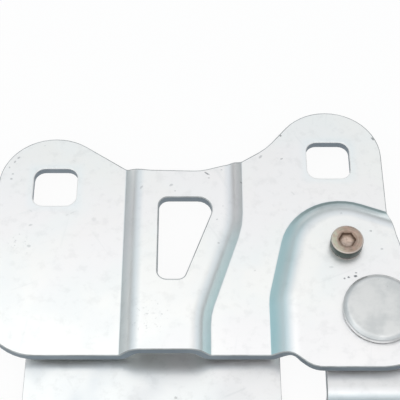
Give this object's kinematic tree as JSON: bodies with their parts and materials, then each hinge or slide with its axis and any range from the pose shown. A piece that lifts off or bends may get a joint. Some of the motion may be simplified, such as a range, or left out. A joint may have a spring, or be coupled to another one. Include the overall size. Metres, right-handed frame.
{
  "type": "bonnet hinge",
  "caption": "Pressed steel bonnet hinge: a ribbed bonnet leaf with square bolt holes turns on a rivet over a flanged body leaf, with a rubber stop.",
  "frame": {"origin": "under the middle of the whole part's box at rest, on the plane of the body leaf's back, which is the face that meets the vehicle body", "axes": "+Z away from the body, along the pivot; +X along the bonnet's edge, from the nose of the bonnet towards the pivot end; +Y from the body leaf towards the bonnet"},
  "size_m": [0.1474, 0.1356, 0.016],
  "materials": {
    "bonnet_leaf_zinc": "bright zinc plating, satin, faint bluish white",
    "body_leaf_zinc": "bright zinc plating, satin",
    "rivet": "satin light grey steel",
    "bush": "sintered bronze, dull",
    "washer": "zinc plating, satin",
    "stop_screw": "bare steel with a brown tint, satin",
    "sleeve": "turned steel, zinc plated",
    "nut": "zinc plating, satin",
    "stop_rubber": "moulded black rubber, matt",
    "buffer_rubber": "moulded black rubber, matt"
  },
  "bodies": {
    "body_leaf": {"body_plate": "body_leaf_zinc", "front_bush": "bush", "rear_bush": "bush", "rest_buffer": "buffer_rubber"},
    "bonnet_leaf": {"bonnet_plate": "bonnet_leaf_zinc", "pivot_rivet": "rivet", "tail_washer": "washer", "stop_screw": "stop_screw", "stop_sleeve": "sleeve", "stop_ring": "stop_rubber", "stop_nut": "nut"}
  },
  "joints": [
    {"name": "bonnet_swing", "type": "hinge", "parent": "body_leaf", "child": "bonnet_leaf", "pos_m": [0.04539, -0.0081, 0.0065], "axis": [0, 0, -1], "range_deg": [0, 60]}
  ]
}
